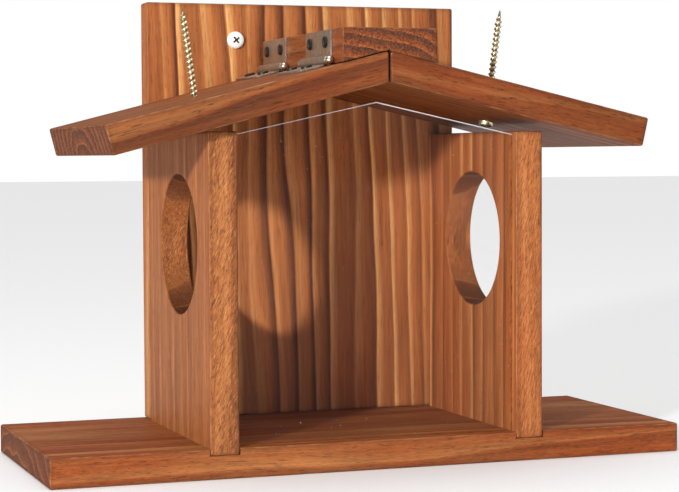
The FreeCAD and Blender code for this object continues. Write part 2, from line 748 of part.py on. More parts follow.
SUB_PARTS = [
    make_tray(),
    make_back(),
    make_wall("left_wall", -1),
    make_wall("right_wall", 1),
    make_window(),
    make_roof_panel(),
    make_lid(),
    make_block(),
]
for name, front in zip(("front_hinge", "rear_hinge"), hinge_fronts()):
    SUB_PARTS.append(make_leaf(f"{name}_block_leaf", "block", front))
    SUB_PARTS.append(make_leaf(f"{name}_lid_leaf", "lid", front))
    SUB_PARTS.append(make_pin(f"{name}_pin", front))
SUB_PARTS += [
    leaf_screws("block_leaf_screws", "block"),
    leaf_screws("lid_leaf_screws", "lid"),
    make_corn_screw("left_corn_screw", -1, LID_SEAT),
    make_corn_screw("right_corn_screw", 1, ROOF_SEAT),
    make_mounting_screw("left_mounting_screw", -1),
    make_mounting_screw("right_mounting_screw", 1),
    flat_screws("tray_to_wall_screws", "wood_length", (0, 0, 1), TRAY_WALL_PLACES),
    flat_screws("tray_to_back_screws", "wood_length", (0, 0, 1), TRAY_BACK_PLACES),
    flat_screws("back_to_wall_screws", "wood_length", (0, -1, 0), BACK_WALL_PLACES),
    flat_screws("back_to_roof_screws", "wood_length", (0, -1, 0), BACK_ROOF_PLACES),
    flat_screws("back_to_block_screws", "wood_length", (0, -1, 0), BACK_BLOCK_PLACES),
    flat_screws("block_to_roof_screws", "short_length", (0, 0, -1), BLOCK_ROOF_PLACES),
]
doc.recompute()

for thing in doc.Objects:
    if "Invalid" in thing.State or "Error" in thing.State:
        raise RuntimeError(f"{thing.Name} did not compute: {thing.State}")

os.makedirs("parts", exist_ok=True)
for part in SUB_PARTS:
    if part.Shape.isNull() or not part.Shape.isValid():
        raise RuntimeError(f"{part.Label} has no valid shape")
    print(f"{part.Label}: {len(part.Shape.Solids)} solid(s), {part.Shape.Volume:.1f} mm3")
    part.Shape.exportStep(f"parts/{part.Label}.step")
print(f"pin axis at x {number(PIN_X):.3f}, z {number(PIN_Z):.3f}; ridge at z {number(RIDGE):.3f}")
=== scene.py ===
import bmesh
import bpy
import json
import math
from bpy.props import FloatProperty, FloatVectorProperty, PointerProperty
from mathutils import Euler, Matrix, Vector


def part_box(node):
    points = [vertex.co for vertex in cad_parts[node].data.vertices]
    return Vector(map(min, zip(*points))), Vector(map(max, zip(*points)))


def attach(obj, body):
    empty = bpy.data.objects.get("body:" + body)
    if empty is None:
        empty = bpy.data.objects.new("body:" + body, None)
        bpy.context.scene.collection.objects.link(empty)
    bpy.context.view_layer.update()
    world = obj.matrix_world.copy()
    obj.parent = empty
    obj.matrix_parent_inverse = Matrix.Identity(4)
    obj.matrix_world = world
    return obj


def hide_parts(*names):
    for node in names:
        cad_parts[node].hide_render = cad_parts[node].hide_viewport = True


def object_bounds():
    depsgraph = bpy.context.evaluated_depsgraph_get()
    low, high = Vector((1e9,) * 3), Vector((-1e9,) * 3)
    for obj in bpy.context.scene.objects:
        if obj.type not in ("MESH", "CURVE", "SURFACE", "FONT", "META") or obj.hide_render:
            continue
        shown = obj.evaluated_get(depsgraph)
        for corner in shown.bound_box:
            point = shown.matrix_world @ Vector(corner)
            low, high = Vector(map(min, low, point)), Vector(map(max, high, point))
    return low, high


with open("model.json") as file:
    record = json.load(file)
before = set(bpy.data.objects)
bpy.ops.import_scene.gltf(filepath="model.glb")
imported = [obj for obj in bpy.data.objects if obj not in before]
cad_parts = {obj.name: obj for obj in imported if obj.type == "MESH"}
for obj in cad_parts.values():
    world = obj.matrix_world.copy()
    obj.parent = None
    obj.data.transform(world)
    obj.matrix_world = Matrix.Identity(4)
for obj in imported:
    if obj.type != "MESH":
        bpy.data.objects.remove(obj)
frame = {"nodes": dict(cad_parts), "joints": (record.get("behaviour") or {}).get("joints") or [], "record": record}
CAD_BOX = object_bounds()

bl_info = {
    "name": "Wall Feeder Finish",
    "version": (1, 0, 0),
    "blender": (4, 5, 0),
    "location": "3D View > Sidebar > Feeder",
    "description": "Stains the boards and makes the hinges, screws and window of a wall feeder",
    "category": "Object",
}

MM = 0.001
HOUSING = "housing"
LID = "lid"
LID_SLOPE = 14.3      # degrees, the lid below level
ROOF_SLOPE = 12.9     # degrees, the fixed panel below level
MERGE = 1e-6          # vertices closer than this become one
SHARP = 40            # degrees between faces, past which an edge stays crisp
SIDE_LEAN = 0.6       # a normal's share along an axis that parts sides from ends


# ---- Settings that a user would change -----------------------------------------------------

def colour_setting(name, description, default):
    """A colour without alpha."""
    return FloatVectorProperty(name=name, description=description, default=default,
                               subtype="COLOR", size=3, min=0, max=1)


def length_setting(name, description, default):
    """A length in metres."""
    return FloatProperty(name=name, description=description, default=default, min=0,
                         subtype="DISTANCE", unit="LENGTH", precision=5)


def share_setting(name, description, default):
    """A strength from 0 to 1."""
    return FloatProperty(name=name, description=description, default=default, min=0, max=1,
                         subtype="FACTOR")


class FEEDER_PG_wood(bpy.types.PropertyGroup):
    """The stain on the boards."""
    pale: colour_setting("Pale streaks", "Late wood, which takes little stain",
                         (0.62, 0.32, 0.115))
    stain: colour_setting("Stain", "The stain's main colour", (0.335, 0.113, 0.034))
    ruddy: colour_setting("Ruddy stain", "Where the stain is redder", (0.30, 0.064, 0.014))
    dark: colour_setting("Dark bands", "Early wood, which takes most stain",
                         (0.085, 0.025, 0.012))
    end_grain: colour_setting("End grain", "Ends of the boards", (0.090, 0.032, 0.017))
    # Also sets how strong the painted highlight on the arrises is, mixed in with the rubbing.
    arris_wear_and_highlight: share_setting("Arris wear", "How far the eased edges are rubbed", 0.45)


class FEEDER_PG_metal(bpy.types.PropertyGroup):
    """The hinges and screws."""
    bronze: colour_setting("Bronze", "Antique bronze plating", (0.42, 0.335, 0.25))
    # Also the colour of the painted highlight on the hinge leaves' end faces.
    pin_nickel_and_edge_highlight: colour_setting("Pin", "Bright tips of the hinge pins", (0.70, 0.62, 0.52))
    dark: colour_setting("Leaf screws", "Dark plating", (0.05, 0.038, 0.03))
    zinc: colour_setting("Corn screws", "Yellow zinc plating", (0.86, 0.77, 0.52))
    enamel: colour_setting("Mounting screws", "White enamel", (0.86, 0.86, 0.84))
    steel: colour_setting("Assembly screws", "Plain zinc plating", (0.55, 0.56, 0.57))
    # Colour of the painted shade in the recesses, between the threads and on the shanks.
    painted_recess_shade: colour_setting("Grime", "In the recesses and threads", (0.22, 0.165, 0.09))
    thread_pitch: length_setting("Thread pitch", "Corn screw thread, crest to crest", 2.7 * MM)
    thread_depth: length_setting("Thread depth", "Corn screw crest above its core", 0.75 * MM)


class FEEDER_PG_window(bpy.types.PropertyGroup):
    """The clear sheet in front."""
    # Also the colour of the painted highlight along the sheet's top edge.
    sheet: colour_setting("Sheet", "The sheet's edges and the dust on it", (0.90, 0.93, 0.94))
    gloss: share_setting("Gloss", "How strongly the faces mirror the room", 0.12)
    haze: share_setting("Haze", "Dust and fine scratches", 0.3)


class FEEDER_PG_stage(bpy.types.PropertyGroup):
    """The floor and the lamps."""
    floor: colour_setting("Floor", "Pale floor", (0.88, 0.88, 0.88))
    key: FloatProperty(name="Key lamp", description="Soft lamp from the front left",
                       default=41.0, min=0, subtype="POWER")
    fill: FloatProperty(name="Fill lamp", description="Soft lamp from the front right",
                        default=2.0, min=0, subtype="POWER")
    top: FloatProperty(name="Top light", description="Wide light from overhead",
                       default=2.25, min=0)
    sky: FloatProperty(name="Sky", description="Light from all round", default=0.25, min=0)


class FEEDER_PG_settings(bpy.types.PropertyGroup):
    """All the feeder's settings."""
    wood: PointerProperty(type=FEEDER_PG_wood)
    metal: PointerProperty(type=FEEDER_PG_metal)
    window: PointerProperty(type=FEEDER_PG_window)
    stage: PointerProperty(type=FEEDER_PG_stage)


def settings():
    """The scene's feeder settings."""
    return bpy.context.scene.feeder


# ---- Materials -----------------------------------------------------------------------------

class Finish:
    """A material whose nodes are added and joined up as they are called for."""

    def __init__(self, name):
        self.material = bpy.data.materials.new(name)
        self.material.use_nodes = True
        self.nodes = self.material.node_tree.nodes
        self.links = self.material.node_tree.links
        self.surface = self.nodes["Principled BSDF"]
        self.output = self.nodes["Material Output"]
        self.coordinates = self.nodes.new("ShaderNodeTexCoord")

    def feed(self, socket, value):
        """Join a socket to another, or give it a plain value."""
        if isinstance(value, bpy.types.NodeSocket):
            self.links.new(value, socket)
        else:
            socket.default_value = value

    def set(self, **sockets):
        """Set the surface's sockets, whose names are written with underscores."""
        for name, value in sockets.items():
            self.feed(self.surface.inputs[name.replace("_", " ")], value)

    def math(self, operation, first, second=0.0):
        """Arithmetic on one or two values."""
        node = self.nodes.new("ShaderNodeMath")
        node.operation = operation
        self.feed(node.inputs[0], first)
        self.feed(node.inputs[1], second)
        return node.outputs[0]

    def vector(self, operation, first, second=(0, 0, 0)):
        """Arithmetic on one or two vectors, or on a vector and a scale."""
        node = self.nodes.new("ShaderNodeVectorMath")
        node.operation = operation
        self.feed(node.inputs[0], first)
        self.feed(node.inputs["Scale" if operation == "SCALE" else 1], second)
        return node.outputs["Value" if operation == "LENGTH" else "Vector"]

    def between(self, value, low, high, start=0.0, end=1.0):
        """Rises smoothly from start to end as a value goes from low to high."""
        node = self.nodes.new("ShaderNodeMapRange")
        node.interpolation_type = "SMOOTHSTEP"
        for socket, amount in zip(node.inputs, (value, low, high, start, end)):
            self.feed(socket, amount)
        return node.outputs[0]

    def stretch(self, vector, scale, turn=(0, 0, 0)):
        """A vector scaled along each axis, then turned by degrees."""
        node = self.nodes.new("ShaderNodeMapping")
        self.feed(node.inputs["Vector"], vector)
        node.inputs["Scale"].default_value = scale
        node.inputs["Rotation"].default_value = [math.radians(angle) for angle in turn]
        return node.outputs[0]

    def local(self, vector, centre, turn):
        """Coordinates in a board's own frame: X along the grain, Y across, Z through."""
        node = self.nodes.new("ShaderNodeMapping")
        node.vector_type = "TEXTURE"
        self.feed(node.inputs["Vector"], vector)
        node.inputs["Location"].default_value = centre
        node.inputs["Rotation"].default_value = turn
        return node.outputs[0]

    def noise(self, vector, scale=1.0, detail=3.0, roughness=0.55, output="Fac"):
        """Soft random values, from 0 to 1 and mostly near a half."""
        node = self.nodes.new("ShaderNodeTexNoise")
        self.feed(node.inputs["Vector"], vector)
        node.inputs["Scale"].default_value = scale
        node.inputs["Detail"].default_value = detail
        node.inputs["Roughness"].default_value = roughness
        return node.outputs[output]

    def chance(self, number):
        """A steady random value for each whole number."""
        node = self.nodes.new("ShaderNodeTexWhiteNoise")
        node.noise_dimensions = "1D"
        self.feed(node.inputs["W"], number)
        return node.outputs["Value"]

    def split(self, vector):
        """A vector's X, Y and Z."""
        node = self.nodes.new("ShaderNodeSeparateXYZ")
        self.feed(node.inputs[0], vector)
        return node.outputs

    def blend(self, share, first, second, kind="MIX"):
        """One colour blended into another by a share from 0 to 1."""
        node = self.nodes.new("ShaderNodeMix")
        node.data_type = "RGBA"
        node.blend_type = kind
        node.clamp_factor = True
        self.feed(node.inputs["Factor"], share)
        for socket, colour in ((node.inputs[6], first), (node.inputs[7], second)):
            if not isinstance(colour, bpy.types.NodeSocket):
                colour = (*colour, 1.0)
            self.feed(socket, colour)
        return node.outputs[2]

    def shade(self, colour, amount):
        """Multiply a colour by a grey amount."""
        grey = self.nodes.new("ShaderNodeCombineColor")
        for socket in grey.inputs[:3]:
            self.feed(socket, amount)
        return self.blend(1.0, colour, grey.outputs[0], "MULTIPLY")

    def bump(self, height, distance, strength):
        """Raise the surface's shading by a height from 0 to 1."""
        node = self.nodes.new("ShaderNodeBump")
        node.inputs["Distance"].default_value = distance
        node.inputs["Strength"].default_value = strength
        self.feed(node.inputs["Height"], height)
        self.set(Normal=node.outputs[0])


def board_measure(name, turn):
    """A board's centre in the frame, and its half sizes along its own axes."""
    turned = Euler(turn).to_matrix()
    points = [turned.transposed() @ vertex.co for vertex in frame["nodes"][name].data.vertices]
    low = Vector([min(point[axis] for point in points) for axis in range(3)])
    high = Vector([max(point[axis] for point in points) for axis in range(3)])
    return turned @ ((low + high) / 2), (high - low) / 2


# How each board was sawn. turn: degrees that carry the board's own axes onto the frame's.
# pith: the middle of the growth rings, from the board's centre, across and through, in mm.
# ring: mm from ring to ring. lean: degrees of the pith from the board's length. run_out:
# degrees of the fibres on the narrow edges. wander: mm. tone: how light the stain came out.
# seed: shifts the pattern. The rest are strengths.
CUTS = {
    "tray_board": dict(
        turn=(0, 0, 0), pith=(30, -150), ring=11, lean=1.0, run_out=3, wander=14, tone=0.95,
        seed=3.1, streaks=0.4, bands=0.4, warmth=1.0, flecks=0.22, end_bands=0.2),
    "back_board": dict(
        turn=(0, -90, -90), pith=(-190, -60), ring=11, lean=1.2, run_out=2, wander=18, tone=1.25,
        seed=7.7, streaks=0.95, bands=1.0, warmth=0.3, flecks=0.1, end_bands=0.2),
    "left_wall": dict(
        turn=(0, -90, 0), pith=(-150, -60), ring=13, lean=-0.5, run_out=-24, wander=6, tone=1.0,
        seed=11.3, streaks=0.3, bands=0.2, warmth=0.3, flecks=0.75, end_bands=0.2),
    "right_wall": dict(
        turn=(0, -90, 0), pith=(-165, 60), ring=13, lean=0.5, run_out=-16, wander=7, tone=1.22,
        seed=15.9, streaks=0.6, bands=0.5, warmth=0.6, flecks=0.65, end_bands=0.2),
    "right_roof_panel": dict(
        turn=(0, ROOF_SLOPE, 0), pith=(-10, -50), ring=8, lean=1.5, run_out=-6, wander=12,
        tone=0.68, seed=21.5, streaks=0.35, bands=0.7, warmth=1.0, flecks=0.05, end_bands=0.3),
    "left_roof_lid": dict(
        turn=(0, -LID_SLOPE, 0), pith=(-4, -18), ring=8, lean=0.4, run_out=9, wander=8,
        tone=0.72, seed=27.2, streaks=0.4, bands=0.7, warmth=1.0, flecks=0.06, end_bands=0.35),
    "ridge_block": dict(
        turn=(0, 0, 90), pith=(34, -150), ring=5.5, lean=0.5, run_out=3, wander=3, tone=0.72,
        seed=33.8, streaks=0.3, bands=0.6, warmth=1.0, flecks=0.1, end_bands=0.55),
}

# Noise scales, per metre, along, across and through a board.
SWAY = (4, 16, 16)
UNEVEN = (2, 32, 32)
MOTTLE = (7, 20, 20)
WISPS = (9, 120, 120)
FIBRES = (26, 650, 650)
PORES = (160, 2300, 2300)
FLECKS = (280, 1600, 1600)
ARRIS_NOISE_SCALE = (60, 200, 200)
RAYS = 1100
RING_DRIFT = 1.6      # rings that a ring may stray along the board


def stained_wood(name):
    """Stained softwood through and through, so that rings, edges and end grain agree."""
    wood = settings().wood
    cut = CUTS[name]
    turn = [math.radians(angle) for angle in cut["turn"]]
    centre, half = board_measure(name, turn)
    s = Finish(f"stained_{name}")
    place = s.local(s.coordinates.outputs["Object"], centre, turn)
    facing = s.local(s.coordinates.outputs["Normal"], (0, 0, 0), turn)
    end_facing, edge_facing, _ = s.split(s.vector("ABSOLUTE", facing))
    seeded = s.vector("ADD", place, (cut["seed"], cut["seed"] / 2, cut["seed"] / 3))

    # The fibres wander slowly about the board's length.
    sway = s.noise(s.stretch(seeded, SWAY), detail=2, output="Color")
    centred = s.vector("SUBTRACT", sway, (0.5, 0.5, 0.5))
    wandering = s.vector("SCALE", centred, cut["wander"] * MM)
    fibre_place = s.vector("ADD", s.stretch(place, (1, 1, 1), (0, 0, cut["lean"])), wandering)
    fibre_seeded = s.vector("ADD", fibre_place, (cut["seed"], cut["seed"], cut["seed"]))

    # Growth rings: a pale hard edge that fades out, then a dark band before the next ring.
    across, through = (offset * MM for offset in cut["pith"])
    from_pith = s.vector("SUBTRACT", fibre_place, (0, across, through))
    radius = s.vector("LENGTH", s.vector("MULTIPLY", from_pith, (0, 1, 1)))
    rings = s.math("DIVIDE", radius, cut["ring"] * MM)
    uneven = s.noise(s.stretch(fibre_seeded, UNEVEN), detail=2)
    rings = s.math("ADD", rings, s.math("MULTIPLY", uneven, RING_DRIFT))
    year = s.math("FLOOR", rings)
    phase = s.math("FRACT", rings)
    luck = s.chance(s.math("ADD", year, cut["seed"]))
    late = s.math("MULTIPLY", s.between(phase, 0.0, 0.05), s.between(phase, 0.06, 0.42, 1, 0))
    late = s.math("MULTIPLY", late, s.between(luck, 0.1, 0.9, 0.25, 1.0))
    late = s.math("MULTIPLY", late, s.between(edge_facing, 0.5, 1.0, 1.0, 0.45))
    early = s.math("MULTIPLY", s.between(phase, 0.45, 0.93), s.between(phase, 0.94, 1.0, 1, 0))
    early = s.math("MULTIPLY", early, s.between(luck, 0.8, 0.1, 0.2, 1.0))

    # Fibres and pores.
    fibres = s.noise(s.stretch(fibre_seeded, FIBRES), detail=6, roughness=0.68)
    wisps = s.noise(s.stretch(fibre_seeded, WISPS), detail=4, roughness=0.6)
    pores = s.noise(s.stretch(fibre_seeded, PORES), detail=2)
    pore = s.between(pores, 0.57, 0.68)
    mottle = s.noise(s.stretch(seeded, MOTTLE), detail=4, roughness=0.6)

    colour = s.blend(s.math("MULTIPLY", s.between(mottle, 0.3, 0.7), cut["warmth"]),
                     wood.stain, wood.ruddy)
    colour = s.blend(s.math("MULTIPLY", early, cut["bands"]), colour, wood.dark)
    colour = s.blend(s.math("MULTIPLY", late, cut["streaks"]), colour, wood.pale)
    colour = s.shade(colour, s.between(wisps, 0.25, 0.75, 0.85, 1.15))
    colour = s.shade(colour, s.between(fibres, 0.25, 0.75, 0.76, 1.22))
    colour = s.shade(colour, s.math("SUBTRACT", cut["tone"], s.math("MULTIPLY", pore, 0.42)))

    # Narrow edges, where the fibres run out at an angle and leave short pale flecks.
    slanted = s.stretch(seeded, (1, 1, 1), (0, cut["run_out"], 0))
    flecks = s.noise(s.stretch(slanted, FLECKS), detail=4, roughness=0.75)
    edge = s.math("MULTIPLY", s.between(edge_facing, 0.5, 1.0), cut["flecks"])
    colour = s.blend(s.math("MULTIPLY", s.between(flecks, 0.54, 0.72), edge), colour, wood.pale)
    colour = s.blend(s.math("MULTIPLY", s.between(flecks, 0.5, 0.36), edge), colour, wood.dark)

    # End grain soaks up the stain; its rings stay as thin pale lines.
    end = s.between(end_facing, 0.35, 0.95)
    rays = s.noise(seeded, scale=RAYS, detail=3, roughness=0.7)
    line = s.math("MULTIPLY", s.between(phase, 0.0, 0.04), s.between(phase, 0.05, 0.22, 1, 0))
    cross = s.blend(s.math("MULTIPLY", s.between(phase, 0.75, 0.15), cut["end_bands"]),
                    wood.end_grain, wood.ruddy)
    cross = s.blend(s.math("MULTIPLY", line, 0.45), cross, wood.stain)
    cross = s.shade(cross, s.between(rays, 0.32, 0.68, 0.35, 1.6))
    colour = s.blend(s.math("MULTIPLY", end, 0.85), colour, cross)

    # Eased arrises: the dark band beside them is partly stain that gathers there and partly painted shade, and the
    # pale arris itself is partly rubbed wear and partly a painted highlight.
    gaps = s.split(s.vector("SUBTRACT", half, s.vector("ABSOLUTE", place)))
    nearest = s.math("MINIMUM", gaps[0], gaps[1])
    farther = s.math("MAXIMUM", gaps[0], gaps[1])
    arris = s.math("MAXIMUM", nearest, s.math("MINIMUM", farther, gaps[2]))
    arris_noise = s.noise(s.stretch(seeded, ARRIS_NOISE_SCALE), detail=4, roughness=0.7)
    gathered_stain_and_shade = s.between(arris, 0.3 * MM, 3.2 * MM, 0.34, 0.0)
    rubbed_and_highlight = s.math("MULTIPLY", s.between(arris, 0.15 * MM, 0.8 * MM, 1, 0),
                    s.between(arris_noise, 0.42, 0.62))
    # Painted shade mixed with gathered stain: the dark-band colour laid in a strip beside each arris.
    colour = s.blend(gathered_stain_and_shade, colour, wood.dark)
    # Painted highlight mixed with rubbed wear: the pale streak colour laid on the arris itself.
    colour = s.blend(s.math("MULTIPLY", rubbed_and_highlight, wood.arris_wear_and_highlight), colour, wood.pale)

    dull = s.math("ADD", s.between(fibres, 0.25, 0.75, 0.64, 0.46), s.math("MULTIPLY", end, 0.2))
    relief = s.math("ADD", s.math("MULTIPLY", fibres, 0.6), s.math("MULTIPLY", late, 0.25))
    relief = s.math("SUBTRACT", relief, s.math("MULTIPLY", pore, 0.4))
    relief = s.math("ADD", relief, s.math("MULTIPLY", s.math("MULTIPLY", rays, end), 0.7))
    s.set(Base_Color=colour, Roughness=dull, Specular_IOR_Level=0.14)
    s.bump(relief, 0.3 * MM, 0.6)
    return s.material


TARNISH_SCALE = 260      # soft patches, per metre
TUMBLING_SCALE = 2700    # fine marks, per metre


def plated_metal(name, colour, roughness, metallic, tarnish):
    """Plating with tarnish in soft patches and fine tumbling marks."""
    s = Finish(name)
    place = s.coordinates.outputs["Object"]
    patches = s.noise(place, scale=TARNISH_SCALE, detail=4, roughness=0.6)
    marks = s.noise(place, scale=TUMBLING_SCALE, detail=3, roughness=0.7)
    tinted = s.shade(colour, s.between(patches, 0.3, 0.72, 1.0 - tarnish, 1.0 + tarnish / 3))
    tinted = s.shade(tinted, s.between(marks, 0.25, 0.75, 0.86, 1.12))
    s.set(Base_Color=tinted, Metallic=metallic,
          Roughness=s.between(patches, 0.3, 0.7, roughness + 0.14, roughness - 0.06))
    s.bump(s.math("ADD", marks, s.math("MULTIPLY", patches, 0.5)), 0.03 * MM, 0.5)
    return s.material


def recess_shade():
    """Painted shade in a driver's recess, between threads and on the shanks: a darker, duller copy of the plating
    where shade falls.
    """
    name = "recess_painted_shade"
    if name in bpy.data.materials:
        return bpy.data.materials[name]
    return plated_metal(name, settings().metal.painted_recess_shade, roughness=0.6, metallic=0.6, tarnish=0.4)


def gable_slopes(peak):
    """How far the window's top falls from its peak, to the left and to the right."""
    points = [vertex.co for vertex in frame["nodes"]["clear_window"].data.vertices]
    slopes = []
    for side in (-1, 1):
        reach = max(point.x * side for point in points)
        corner = max((point for point in points if point.x * side > reach - MM),
                     key=lambda point: point.z)
        slopes.append((peak.z - corner.z) / (corner.x - peak.x))
    return slopes


ACRYLIC_IOR = 1.49
PANE_ROUGHNESS = 0.03
SPECK_SCALE = 1100               # per metre
SCRATCH_SCALE = (40, 40, 1500)   # per metre
SCRATCH_TURN = (0, 34, 0)        # degrees


def clear_sheet():
    """Clear acrylic: see-through, with glossy faces, bright cut edges, a painted highlight along the top edge,
    dust and scratches.
    """
    window = settings().window
    s = Finish("clear_acrylic")
    place = s.coordinates.outputs["Object"]
    _, face, _ = s.split(s.vector("ABSOLUTE", s.coordinates.outputs["Normal"]))
    edge = s.between(face, 0.5, 0.9, 0.75, 0.0)
    specks = s.between(s.noise(place, scale=SPECK_SCALE, detail=1), 0.755, 0.775)
    scratch_lines = s.noise(s.stretch(place, SCRATCH_SCALE, SCRATCH_TURN), detail=2)
    scratches = s.between(scratch_lines, 0.72, 0.78, 0, 0.12)
    dust = s.math("MULTIPLY", s.math("ADD", specks, scratches), window.haze)
    peak = max((vertex.co for vertex in frame["nodes"]["clear_window"].data.vertices),
               key=lambda point: point.z)
    across, _, height = s.split(s.vector("SUBTRACT", place, peak))
    drops = [s.math("MULTIPLY", across, slope) for slope in gable_slopes(peak)]
    below_top = s.math("SUBTRACT", s.math("MULTIPLY", height, -1), s.math("MAXIMUM", *drops))
    # Painted highlight: a pale band just under the window's sloping top edge.
    lit_edge = s.between(below_top, 0.2 * MM, 0.55 * MM, 0.36, 0.0)
    cover = s.math("MAXIMUM", s.math("MAXIMUM", edge, lit_edge), dust)
    s.set(Base_Color=(*window.sheet, 1.0), Roughness=0.22)
    clear = s.nodes.new("ShaderNodeBsdfTransparent")
    gloss = s.nodes.new("ShaderNodeBsdfGlossy")
    gloss.inputs["Roughness"].default_value = PANE_ROUGHNESS
    fresnel = s.nodes.new("ShaderNodeFresnel")
    fresnel.inputs["IOR"].default_value = ACRYLIC_IOR
    pane = s.nodes.new("ShaderNodeMixShader")
    s.feed(pane.inputs[0], s.math("MULTIPLY", fresnel.outputs[0], window.gloss))
    s.links.new(clear.outputs[0], pane.inputs[1])
    s.links.new(gloss.outputs[0], pane.inputs[2])
    dust_and_highlight_mix = s.nodes.new("ShaderNodeMixShader")
    s.feed(dust_and_highlight_mix.inputs[0], cover)
    s.links.new(pane.outputs[0], dust_and_highlight_mix.inputs[1])
    s.links.new(s.surface.outputs[0], dust_and_highlight_mix.inputs[2])
    s.links.new(dust_and_highlight_mix.outputs[0], s.output.inputs["Surface"])
    return s.material


def dress(name, material):
    """Give a CAD node its material."""
    materials = frame["nodes"][name].data.materials
    materials.clear()
    materials.append(material)


# ---- Mesh work -----------------------------------------------------------------------------

def finish_mesh(bm):
    """Merge doubled vertices and make the faces agree."""
    bmesh.ops.remove_doubles(bm, verts=bm.verts, dist=MERGE)
    bmesh.ops.recalc_face_normals(bm, faces=bm.faces)


def face_outward(bm):
    """Turn the faces of one closed shape outward, however it winds."""
    bmesh.ops.recalc_face_normals(bm, faces=bm.faces)
    if bm.calc_volume(signed=True) < 0:
        bmesh.ops.reverse_faces(bm, faces=bm.faces)


def new_piece(name, bm, materials, body, replaced):
    """Make a mesh an object that rides on a body and stands for CAD nodes."""
    mesh = bpy.data.meshes.new(name)
    bm.to_mesh(mesh)
    bm.free()
    for material in materials:
        mesh.materials.append(material)
    mesh.shade_smooth()
    mesh.set_sharp_from_angle(angle=math.radians(SHARP))
    piece = bpy.data.objects.new(name, mesh)
    bpy.context.scene.collection.objects.link(piece)
    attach(piece, body)
    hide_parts(*replaced)


def spin_profile(bm, corners, steps=32, index=0):
    """Turn an open outline of (radius, height) pairs about Z into a closed shape."""
    before = set(bm.faces)
    verts = [bm.verts.new((radius, 0, height)) for radius, height in corners]
    edges = [bm.edges.new(pair) for pair in zip(verts, verts[1:])]
    bmesh.ops.spin(bm, geom=verts + edges, cent=(0, 0, 0), axis=(0, 0, 1),
                   dvec=(0, 0, 0), angle=math.tau, steps=steps, use_merge=True)
    for face in set(bm.faces) - before:
        face.material_index = index
    finish_mesh(bm)


DOME_STEPS = 7
DOME_FULLNESS = 0.3       # 1 is a half round, and less is flatter on top
RECESS_TAPER = 0.45       # the cutter's bottom over its top
RECESS_TURN = 40          # degrees


def dome(radius, height):
    """The outline of a domed head, from its middle to its rim, for spinning."""
    angles = [math.pi / 2 * step / DOME_STEPS for step in range(DOME_STEPS)]
    return [(radius * math.sin(angle), height * math.cos(angle) ** DOME_FULLNESS)
            for angle in angles] + [(radius, 0)]


def cross_cutter(reach, width, depth, top):
    """Two crossed wedges that cut a driver's recess, narrowing to the bottom."""
    bm = bmesh.new()
    for across, along in ((reach * 2, width), (width, reach * 2)):
        made = bmesh.ops.create_cube(bm, size=1)["verts"]
        bmesh.ops.scale(bm, vec=(across, along, depth * 2), verts=made)
        low = [vert for vert in made if vert.co.z < 0]
        bmesh.ops.scale(bm, vec=(RECESS_TAPER, RECESS_TAPER, 1), verts=low)
        bmesh.ops.translate(bm, vec=(0, 0, top), verts=made)
    bm.transform(Matrix.Rotation(math.radians(RECESS_TURN), 4, "Z"))
    return bm


def carve(bm, cutter):
    """Take a cutter's shape out of a solid, and free the cutter."""
    solid, tool = (bpy.data.objects.new(name, bpy.data.meshes.new(name))
                   for name in ("solid", "tool"))
    for item, shape in ((solid, bm), (tool, cutter)):
        shape.to_mesh(item.data)
        bpy.context.scene.collection.objects.link(item)
    difference = solid.modifiers.new("recess", "BOOLEAN")
    difference.operation = "DIFFERENCE"
    difference.solver = "EXACT"
    difference.use_self = True
    difference.object = tool
    graph = bpy.context.evaluated_depsgraph_get()
    cut = bpy.data.meshes.new_from_object(solid.evaluated_get(graph))
    bm.clear()
    bm.from_mesh(cut)
    cutter.free()
    for item in (solid, tool):
        data = item.data
        bpy.data.objects.remove(item)
        bpy.data.meshes.remove(data)
    bpy.data.meshes.remove(cut)


SHANK_TOP = -0.5 * MM     # faces below this take the shank's material, the same darker painted shade as the recess
NEAR_FLOOR = 0.9          # shares of a recess's depth that bracket its floor
PAST_FLOOR = 1.05


def screw_head(outline, reach, width, depth, top):
    """A turned screw with a cross recess, its seat at Z = 0 and its top towards +Z."""
    bm = bmesh.new()
    spin_profile(bm, outline)
    carve(bm, cross_cutter(reach, width, depth, top))
    near_floor = top - depth * NEAR_FLOOR
    past_floor = top - depth * PAST_FLOOR
    # Recess faces and the shank take the second material, a painted shade.
    for face in bm.faces:
        middle = face.calc_center_median()
        steep = abs(face.normal.z) < SIDE_LEAN
        inner = Vector(middle[:2]).length < reach
        recessed = inner and middle.z > past_floor and (steep or middle.z < near_floor)
        if recessed or middle.z < SHANK_TOP:
            face.material_index = 1
    return bm


def merge_into(target, source, matrix):
    """Put a copy of one bmesh into another, moved by a matrix."""
    mesh = bpy.data.meshes.new("part")
    source.to_mesh(mesh)
    mesh.transform(matrix)
    target.from_mesh(mesh)
    bpy.data.meshes.remove(mesh)


def facing_matrix(place, direction):
    """Carries +Z onto a direction and the origin onto a place."""
    turn = Vector(direction).to_track_quat("Z", "Y").to_matrix().to_4x4()
    return Matrix.Translation(place) @ turn


def solids_of(name):
    """The vertices of each separate solid in a CAD node, found by how they lie together."""
    bm = bmesh.new()
    bm.from_mesh(frame["nodes"][name].data)
    bmesh.ops.remove_doubles(bm, verts=bm.verts, dist=MERGE)
    left = set(bm.verts)
    groups = []
    while left:
        group = set()
        front = [left.pop()]
        while front:
            vert = front.pop()
            group.add(vert)
            near = {edge.other_vert(vert) for edge in vert.link_edges} & left
            left -= near
            front.extend(near)
        groups.append([vert.co.copy() for vert in group])
    bm.free()
    return groups


RIM_BAND = 0.02 * MM      # points this near the outermost one lie on the same flat


